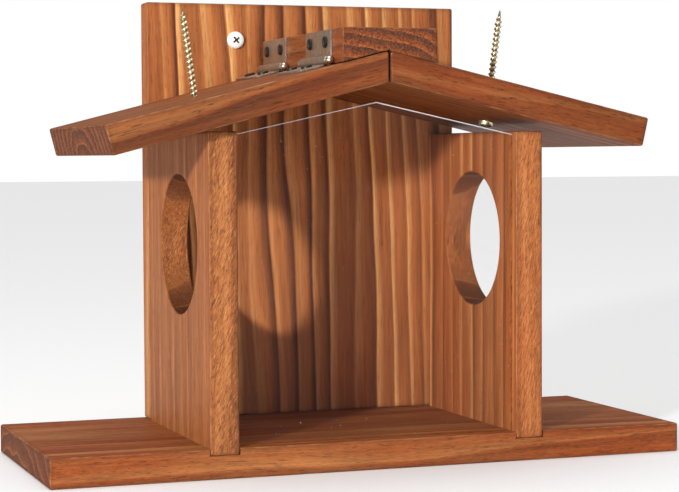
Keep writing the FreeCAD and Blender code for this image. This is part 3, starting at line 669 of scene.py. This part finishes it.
def head_places(name, direction):
    """The middle of each screw's outermost flat in a CAD node, along a direction."""
    out = Vector(direction).normalized()
    places = []
    for points in solids_of(name):
        top = max(point @ out for point in points)
        rim = [point for point in points if point @ out > top - RIM_BAND]
        low = Vector([min(point[axis] for point in rim) for axis in range(3)])
        high = Vector([max(point[axis] for point in rim) for axis in range(3)])
        places.append((low + high) / 2)
    return sorted(places, key=lambda place: tuple(round(value, 4) for value in place))


def screw_length(name, direction):
    """How long each screw of a CAD node is, head and all."""
    out = Vector(direction).normalized()
    reaches = [point @ out for point in solids_of(name)[0]]
    return max(reaches) - min(reaches)


# ---- Hinges --------------------------------------------------------------------------------

HINGES = ("front_hinge", "rear_hinge")
HINGE_LENGTH = 38 * MM
HINGE_REACH = 15.2 * MM     # pin axis to a leaf's free edge
LEAF_THICK = 1.2 * MM
LEAF_STAND = 2.6 * MM       # pin axis to the back of a leaf
LEAF_START = 0.4 * MM       # pin axis to a leaf's near edge
LEAF_BEVEL = 0.14 * MM
NOTCH = (8 * MM, 5.2 * MM)  # width and height cut away beside the other leaf's knuckles
NOTCH_SHIFT = 2 * MM
KNUCKLE = 2.3 * MM          # radius
KNUCKLE_BORE = 1.16 * MM    # radius
KNUCKLE_GAP = 0.2 * MM
ROLL_ANGLE = 318            # degrees
ROLL_STEPS = 26
ROLL_TAIL = (0.25 * MM, 0, 1.3 * MM)    # the roll's end, run up into its plate
PIN_RADIUS = 1.05 * MM
TIP = 2.1 * MM              # radius of the ball at each end of a pin


def hinge_axis(name):
    """The front end of a hinge's pin axis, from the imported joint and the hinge's own leaf."""
    joint = frame["joints"][0]["pos_m"]
    return Vector((joint[0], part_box(f"{name}_block_leaf")[0].y, joint[2]))


def rolled_knuckle(start, end):
    """A knuckle about +Y, rolled most of the way round and run up into its plate."""
    bm = bmesh.new()
    verts = [bm.verts.new((radius, place, 0)) for radius, place in
             ((KNUCKLE_BORE, start), (KNUCKLE, start), (KNUCKLE, end), (KNUCKLE_BORE, end))]
    strip = bm.faces.new(verts)
    run = bmesh.ops.extrude_face_region(bm, geom=[strip])["geom"]
    lifted = [item for item in run if isinstance(item, bmesh.types.BMVert)]
    bmesh.ops.translate(bm, vec=ROLL_TAIL, verts=lifted)
    bmesh.ops.spin(bm, geom=[strip], cent=(0, 0, 0), axis=(0, 1, 0), dvec=(0, 0, 0),
                   angle=math.radians(ROLL_ANGLE), steps=ROLL_STEPS)
    if strip.is_valid:
        bmesh.ops.delete(bm, geom=[strip], context="FACES_ONLY")
    finish_mesh(bm)
    face_outward(bm)
    return bm


def leaf_mesh(owner):
    """A leaf about its pin axis along +Y: a flat plate, and knuckles rolled from its edge."""
    bm = bmesh.new()
    plate = bmesh.ops.create_cube(bm, size=1)["verts"]
    height = HINGE_REACH - LEAF_START
    bmesh.ops.scale(bm, vec=(LEAF_THICK, HINGE_LENGTH, height), verts=plate)
    middle = (LEAF_STAND - LEAF_THICK / 2, HINGE_LENGTH / 2, HINGE_REACH - height / 2)
    bmesh.ops.translate(bm, vec=middle, verts=plate)
    third = HINGE_LENGTH / 3
    half_gap = KNUCKLE_GAP / 2
    if owner == "block":
        spans = [(0, third - half_gap), (third * 2 + half_gap, third * 3)]
        free = [(third - half_gap, third * 2 + half_gap)]
    else:
        spans = [(third + half_gap, third * 2 - half_gap)]
        free = [(0, third + half_gap), (third * 2 - half_gap, third * 3)]
    for start, end in free:
        notch = bmesh.new()
        box = bmesh.ops.create_cube(notch, size=1)["verts"]
        bmesh.ops.scale(notch, vec=(NOTCH[0], end - start, NOTCH[1]), verts=box)
        bmesh.ops.translate(notch, vec=(NOTCH_SHIFT, (start + end) / 2, 0), verts=box)
        carve(bm, notch)
    bmesh.ops.bevel(bm, geom=bm.edges[:], offset=LEAF_BEVEL, offset_type="OFFSET",
                    affect="EDGES", segments=2, profile=0.5, material=-1, clamp_overlap=True)
    finish_mesh(bm)
    face_outward(bm)
    for start, end in spans:
        roll = rolled_knuckle(start, end)
        merge_into(bm, roll, Matrix())
        roll.free()
    # Faces at the leaf's ends take the second material, a brighter and shinier copy of the plating: a painted
    # highlight on the edges.
    for face in bm.faces:
        if abs(face.normal.y) > SIDE_LEAN:
            face.material_index = 1
    return bm


def make_leaves(materials):
    """Two leaves for each hinge: one up the block's side, and one along the lid."""
    for name in HINGES:
        standing = Matrix.Translation(hinge_axis(name))
        lying = standing @ Matrix.Rotation(math.radians(-90 - LID_SLOPE), 4, "Y")
        for owner, body, matrix in (("block", HOUSING, standing), ("lid", LID, lying)):
            bm = leaf_mesh(owner)
            if owner == "lid":
                bmesh.ops.scale(bm, vec=(-1, 1, 1), verts=bm.verts)
                bmesh.ops.reverse_faces(bm, faces=bm.faces)
            bm.transform(matrix)
            node = f"{name}_{owner}_leaf"
            new_piece(f"{node}_rolled", bm, materials, body, [node])


def make_pins(material):
    """A pin with a ball at each end, for each hinge."""
    for name in HINGES:
        bm = bmesh.new()
        bmesh.ops.create_cone(bm, cap_ends=True, segments=24, radius1=PIN_RADIUS,
                              radius2=PIN_RADIUS, depth=HINGE_LENGTH + TIP * 2)
        for sign in (-1, 1):
            ball = bmesh.ops.create_uvsphere(bm, u_segments=28, v_segments=18, radius=TIP)
            shift = sign * (HINGE_LENGTH / 2 + TIP + KNUCKLE_GAP / 2)
            bmesh.ops.translate(bm, vec=(0, 0, shift), verts=ball["verts"])
        middle = hinge_axis(name) + Vector((0, HINGE_LENGTH / 2, 0))
        bm.transform(facing_matrix(middle, (0, 1, 0)))
        new_piece(f"{name}_pin_bright", bm, [material], HOUSING, [f"{name}_pin"])


# ---- Screws --------------------------------------------------------------------------------

# Each kind of screw, in mm. head: radius and height. recess: reach, width and depth.
# shank: radius. point: length of the taper at the shank's end.
LEAF_SCREW = dict(head=(2.9, 1.4), recess=(1.9, 0.85, 1.0), shank=1.35, point=3)
MOUNTING_SCREW = dict(head=(4.65, 2.6), recess=(3.0, 1.3, 1.7), shank=2.25, core=2.0,
                      plain=13, point=5)
FLAT_SCREW = dict(head=(3.7, 2.2), recess=(2.1, 0.75, 1.6), shank=1.9, point=4,
                  sunk=0.02, rim=0.2, ease=0.15)
CORN_SCREW = dict(head=(4.0, 3.2), recess=(2.2, 0.8, 1.7), shank=2.1, plain=13, length=60)

CORN_POINT = 4 * MM       # bare tip of a corn screw past its measured shaft
CORN_THREAD = 11 * MM     # from under the head to where the threaded shaft starts
CORN_TAPER = 7 * MM       # the core narrows over this length
CORN_BLUNT = 1.6 * MM     # and closes to its point over this
CORN_LAP = 1 * MM         # the core starts this far inside the plain shank
CORN_SHORT = 0.1 * MM     # the tip stops this far short of the measured one
TIP_SHARE = 0.45          # the core's radius where it starts to close, over its full one
THREAD_STOP = 1.5 * MM    # bare point past the thread
THREAD_STEPS = 22         # per turn
THREAD_FOOT = 0.36        # half the thread's foot, over its pitch
THREAD_CREST = 0.08       # half the thread's crest, over its pitch
THREAD_ROOT = 0.9         # the foot's radius over the core's, so that it is buried
THREAD_FADE = 0.12        # least share of its radius that the thread keeps at the tip


def make_headed(name, node, body, direction, head, drop, material):
    """One piece of like screws: a turned screw at each CAD screw's place."""
    bm = bmesh.new()
    for place in head_places(node, direction):
        seat = place - Vector(direction).normalized() * drop
        merge_into(bm, head, facing_matrix(seat, direction))
    head.free()
    new_piece(name, bm, [material, recess_shade()], body, [node])


def turned_screw(kind, outline, top):
    """A screw with its kind's recess, from an outline of (radius, height) pairs."""
    reach, width, depth = (size * MM for size in kind["recess"])
    return screw_head(outline, reach, width, depth, top)


def leaf_screw(length):
    """A small domed screw with a short point."""
    radius, height = (size * MM for size in LEAF_SCREW["head"])
    shank = LEAF_SCREW["shank"] * MM
    tip = height - length
    return turned_screw(LEAF_SCREW, dome(radius, height) + [
        (shank, 0), (shank, tip + LEAF_SCREW["point"] * MM), (0, tip)], height)


def mounting_screw(length):
    """A pan-headed screw with a plain shank under the head and a slimmer core."""
    radius, height = (size * MM for size in MOUNTING_SCREW["head"])
    shank = MOUNTING_SCREW["shank"] * MM
    core = MOUNTING_SCREW["core"] * MM
    step = -MOUNTING_SCREW["plain"] * MM
    tip = height - length
    return turned_screw(MOUNTING_SCREW, dome(radius, height) + [
        (shank, 0), (shank, step), (core, step), (core, tip + MOUNTING_SCREW["point"] * MM),
        (0, tip)], height)


def flat_screw(length):
    """A countersunk screw, flush at Z = 0, with a plain shank."""
    radius, height = (size * MM for size in FLAT_SCREW["head"])
    sunk, rim, ease = (-FLAT_SCREW[key] * MM for key in ("sunk", "rim", "ease"))
    shank = FLAT_SCREW["shank"] * MM
    return turned_screw(FLAT_SCREW, [
        (0, sunk), (radius + ease, sunk), (radius, rim), (shank, -height),
        (shank, FLAT_SCREW["point"] * MM - length), (0, -length)], 0)


def threaded_shaft(bm, start, end, crest):
    """A core that ends in a point, and a thread that winds up it and fades at the tip."""
    metal = settings().metal
    core = crest - metal.thread_depth
    taper = end - CORN_TAPER
    foot_end = start - CORN_LAP
    # The core takes the second material: painted shade between the threads.
    spin_profile(bm, [(0, foot_end), (core, foot_end), (core, taper),
                      (core * TIP_SHARE, end - CORN_BLUNT), (0, end)], 24, 1)
    pitch = metal.thread_pitch
    foot = pitch * THREAD_FOOT
    flat = THREAD_CREST * pitch
    thread = bmesh.new()
    root = core * THREAD_ROOT
    ridge = [thread.verts.new((radius, 0, start + lift)) for radius, lift in
             ((root, -foot), (crest, -flat), (crest, flat), (root, foot))]
    section = thread.faces.new(ridge)
    count = round((end - start - THREAD_STOP) / pitch * THREAD_STEPS)
    bmesh.ops.spin(thread, geom=[section], cent=(0, 0, 0), axis=(0, 0, 1),
                   dvec=(0, 0, pitch / THREAD_STEPS), angle=math.tau * count / THREAD_STEPS,
                   steps=count)
    for vert in thread.verts:
        if vert.co.z > taper:
            fade = max(THREAD_FADE, (end - vert.co.z) / (end - taper))
            vert.co.x *= fade
            vert.co.y *= fade
    face_outward(thread)
    merge_into(bm, thread, Matrix())
    thread.free()


def make_corn_screw(name, mount, body, material):
    """A long screw, head under the panel and threaded shaft up through it."""
    spike = next(item for item in frame["record"]["mounts"] if item["name"] == mount)
    along = Vector(spike["axis"]).normalized()
    middle = Vector(spike["pos_m"])
    tip = middle + along * (spike["dims"]["length_mm"] * MM / 2 + CORN_POINT)
    length = CORN_SCREW["length"] * MM
    radius, height = (size * MM for size in CORN_SCREW["head"])
    shank = CORN_SCREW["shank"] * MM
    step = -CORN_SCREW["plain"] * MM
    bm = turned_screw(CORN_SCREW, dome(radius, height) + [
        (shank, 0), (shank, step), (0, step)], height)
    bm.transform(Matrix.Rotation(math.pi, 4, "X"))
    threaded_shaft(bm, CORN_THREAD, length - CORN_SHORT, spike["dims"]["r_mm"] * MM)
    bm.transform(facing_matrix(tip - along * length, along))
    new_piece(f"{name}_threaded", bm, [material, recess_shade()], body, [name])


# ---- Operators -----------------------------------------------------------------------------

class FEEDER_OT_stain_boards(bpy.types.Operator):
    """Stain the tray, back, walls, roof panels and ridge block, each as it was sawn"""
    bl_idname = "feeder.stain_boards"
    bl_label = "Stain Boards"

    def execute(self, context):
        for name in CUTS:
            dress(name, stained_wood(name))
        return {"FINISHED"}


class FEEDER_OT_fit_window(bpy.types.Operator):
    """Give the window its clear, glossy sheet"""
    bl_idname = "feeder.fit_window"
    bl_label = "Fit Window"

    def execute(self, context):
        dress("clear_window", clear_sheet())
        return {"FINISHED"}


class FEEDER_OT_hang_hinges(bpy.types.Operator):
    """Roll the hinge leaves"""
    bl_idname = "feeder.hang_hinges"
    bl_label = "Hang Hinges"

    def execute(self, context):
        bronze = plated_metal("antique_bronze", settings().metal.bronze,
                              roughness=0.42, metallic=0.9, tarnish=0.2)
        # The bright material on the leaves is a painted highlight for their end faces.
        bright = plated_metal("painted_edge_highlight", settings().metal.pin_nickel_and_edge_highlight,
                              roughness=0.26, metallic=1.0, tarnish=0.15)
        make_leaves([bronze, bright])
        return {"FINISHED"}


class FEEDER_OT_hinge_pins(bpy.types.Operator):
    """Make the hinge pins with their ball tips"""
    bl_idname = "feeder.hinge_pins"
    bl_label = "Hinge Pins"

    def execute(self, context):
        bright = plated_metal("bright_pin", settings().metal.pin_nickel_and_edge_highlight,
                              roughness=0.24, metallic=1.0, tarnish=0.25)
        make_pins(bright)
        return {"FINISHED"}


class FEEDER_OT_leaf_screws(bpy.types.Operator):
    """Drive the small dark screws of the hinge leaves"""
    bl_idname = "feeder.leaf_screws"
    bl_label = "Leaf Screws"

    def execute(self, context):
        dark = plated_metal("dark_bronze", settings().metal.dark,
                            roughness=0.38, metallic=0.8, tarnish=0.5)
        slope = math.radians(LID_SLOPE)
        up = (-math.sin(slope), 0, math.cos(slope))
        for node, body, way in (("block_leaf_screws", HOUSING, (-1, 0, 0)),
                                ("lid_leaf_screws", LID, up)):
            head = leaf_screw(screw_length(node, way))
            drop = LEAF_SCREW["head"][1] * MM
            make_headed(f"{node}_domed", node, body, way, head, drop, dark)
        return {"FINISHED"}


class FEEDER_OT_corn_screws(bpy.types.Operator):
    """Cut the two long screws that hold corn cobs"""
    bl_idname = "feeder.corn_screws"
    bl_label = "Corn Screws"

    def execute(self, context):
        zinc = plated_metal("yellow_zinc", settings().metal.zinc,
                            roughness=0.27, metallic=0.95, tarnish=0.25)
        make_corn_screw("left_corn_screw", "left_corn_spike", LID, zinc)
        make_corn_screw("right_corn_screw", "right_corn_spike", HOUSING, zinc)
        return {"FINISHED"}


class FEEDER_OT_mounting_screws(bpy.types.Operator):
    """Drive the white screws that hold the feeder on a wall"""
    bl_idname = "feeder.mounting_screws"
    bl_label = "Mounting Screws"

    def execute(self, context):
        enamel = plated_metal("white_enamel", settings().metal.enamel,
                              roughness=0.3, metallic=0.0, tarnish=0.06)
        way = (0, -1, 0)
        for node in ("left_mounting_screw", "right_mounting_screw"):
            head = mounting_screw(screw_length(node, way))
            drop = MOUNTING_SCREW["head"][1] * MM
            make_headed(f"{node}_pan", node, HOUSING, way, head, drop, enamel)
        return {"FINISHED"}


class FEEDER_OT_assembly_screws(bpy.types.Operator):
    """Drive the countersunk screws that hold the boards together"""
    bl_idname = "feeder.assembly_screws"
    bl_label = "Assembly Screws"

    def execute(self, context):
        steel = plated_metal("plain_steel", settings().metal.steel,
                             roughness=0.3, metallic=1.0, tarnish=0.25)
        for node, way in (("tray_to_wall_screws", (0, 0, -1)),
                          ("tray_to_back_screws", (0, 0, -1)),
                          ("back_to_wall_screws", (0, 1, 0)),
                          ("back_to_roof_screws", (0, 1, 0)),
                          ("back_to_block_screws", (0, 1, 0)),
                          ("block_to_roof_screws", (0, 0, 1))):
            head = flat_screw(screw_length(node, way))
            make_headed(f"{node}_flat", node, HOUSING, way, head, 0, steel)
        return {"FINISHED"}


SENSOR = 36                  # mm
LENS = 104.35                # mm
CAMERA_PLACE = (-0.3518, -0.9794, 0.1566)
CAMERA_YAW = 19.838          # degrees from +Y towards +X
CAMERA_PITCH = -2.597        # degrees
CAMERA_ROLL = -0.298         # degrees
FLOOR_REACH = 12             # metres
FLOOR_DROP = 0.05 * MM       # the floor's gap under the tray
OVERHEAD_SPREAD = 70         # degrees
LAMP_TARGET = Vector((0, 0, 0.11))
KEY_PLACE = (-1.42, -1.40, 0.48)
KEY_SIZE = 0.14              # metres
FILL_PLACE = (1.0, -1.6, 0.4)
FILL_SIZE = 0.9              # metres


def add_lamp(name, power, size, place):
    """A round soft lamp, aimed at the middle of the feeder."""
    lamp = bpy.data.lights.new(name, "AREA")
    lamp.energy = power
    lamp.shape = "DISK"
    lamp.size = size
    holder = bpy.data.objects.new(name, lamp)
    holder.location = place
    aim = LAMP_TARGET - Vector(place)
    holder.rotation_euler = aim.to_track_quat("-Z", "Y").to_euler()
    bpy.context.scene.collection.objects.link(holder)


def lay_floor(stage):
    """A wide pale floor just under the tray."""
    bm = bmesh.new()
    bmesh.ops.create_grid(bm, x_segments=1, y_segments=1, size=FLOOR_REACH)
    bmesh.ops.translate(bm, vec=(0, 0, CAD_BOX[0].z - FLOOR_DROP), verts=bm.verts)
    mesh = bpy.data.meshes.new("floor")
    bm.to_mesh(mesh)
    bm.free()
    floor = bpy.data.objects.new("floor", mesh)
    bpy.context.scene.collection.objects.link(floor)
    paint = Finish("pale_floor")
    paint.set(Base_Color=(*stage.floor, 1.0), Roughness=0.7)
    mesh.materials.append(paint.material)


def hang_lights(stage):
    """Two soft lamps and a wide light from overhead."""
    add_lamp("key_lamp", stage.key, KEY_SIZE, KEY_PLACE)
    add_lamp("fill_lamp", stage.fill, FILL_SIZE, FILL_PLACE)
    overhead = bpy.data.lights.new("overhead", "SUN")
    overhead.energy = stage.top
    overhead.angle = math.radians(OVERHEAD_SPREAD)
    bpy.context.scene.collection.objects.link(bpy.data.objects.new("overhead", overhead))


def paint_sky(stage):
    """A world that is white to look at and dimmer as a light."""
    world = bpy.data.worlds.new("studio")
    world.use_nodes = True
    tree = world.node_tree
    sky = tree.nodes["Background"]
    sky.inputs["Color"].default_value = (1, 1, 1, 1)
    view = tree.nodes.new("ShaderNodeLightPath")
    level = tree.nodes.new("ShaderNodeMath")
    level.operation = "MAXIMUM"
    level.inputs[1].default_value = stage.sky
    tree.links.new(view.outputs["Is Camera Ray"], level.inputs[0])
    tree.links.new(level.outputs[0], sky.inputs["Strength"])
    bpy.context.scene.world = world
    bpy.context.scene.view_settings.view_transform = "Standard"


def place_camera():
    """The camera, low in front and to the left."""
    data = bpy.data.cameras.new("camera")
    data.lens = LENS
    data.sensor_width = SENSOR
    camera = bpy.data.objects.new("camera", data)
    turn = (Matrix.Rotation(math.radians(-CAMERA_YAW), 4, "Z")
            @ Matrix.Rotation(math.radians(90 + CAMERA_PITCH), 4, "X")
            @ Matrix.Rotation(math.radians(CAMERA_ROLL), 4, "Z"))
    camera.matrix_world = Matrix.Translation(CAMERA_PLACE) @ turn
    bpy.context.scene.collection.objects.link(camera)
    bpy.context.scene.camera = camera


class FEEDER_OT_set_stage(bpy.types.Operator):
    """Lay the pale floor and set the lamps and the camera"""
    bl_idname = "feeder.set_stage"
    bl_label = "Set Stage"

    def execute(self, context):
        stage = settings().stage
        lay_floor(stage)
        hang_lights(stage)
        paint_sky(stage)
        place_camera()
        return {"FINISHED"}


STEPS = (
    FEEDER_OT_stain_boards,
    FEEDER_OT_fit_window,
    FEEDER_OT_hang_hinges,
    FEEDER_OT_hinge_pins,
    FEEDER_OT_leaf_screws,
    FEEDER_OT_corn_screws,
    FEEDER_OT_mounting_screws,
    FEEDER_OT_assembly_screws,
    FEEDER_OT_set_stage,
)


class FEEDER_PT_finish(bpy.types.Panel):
    """Lists the feeder's settings and steps."""
    bl_idname = "FEEDER_PT_finish"
    bl_label = "Wall Feeder"
    bl_space_type = "VIEW_3D"
    bl_region_type = "UI"
    bl_category = "Feeder"

    def draw(self, context):
        for name in ("wood", "metal", "window", "stage"):
            group = getattr(context.scene.feeder, name)
            box = self.layout.box()
            box.label(text=name.capitalize())
            for key in group.bl_rna.properties.keys():
                if key not in ("rna_type", "name"):
                    box.prop(group, key)
        for step in STEPS:
            self.layout.operator(step.bl_idname)


CLASSES = (FEEDER_PG_wood, FEEDER_PG_metal, FEEDER_PG_window, FEEDER_PG_stage,
           FEEDER_PG_settings, *STEPS, FEEDER_PT_finish)


def register():
    for item in CLASSES:
        bpy.utils.register_class(item)
    bpy.types.Scene.feeder = PointerProperty(type=FEEDER_PG_settings)


def unregister():
    del bpy.types.Scene.feeder
    for item in reversed(CLASSES):
        bpy.utils.unregister_class(item)


def main():
    """Register the add-on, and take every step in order."""
    register()
    for step in STEPS:
        group, name = step.bl_idname.split(".")
        getattr(getattr(bpy.ops, group), name)()


if __name__ == "__main__":
    main()
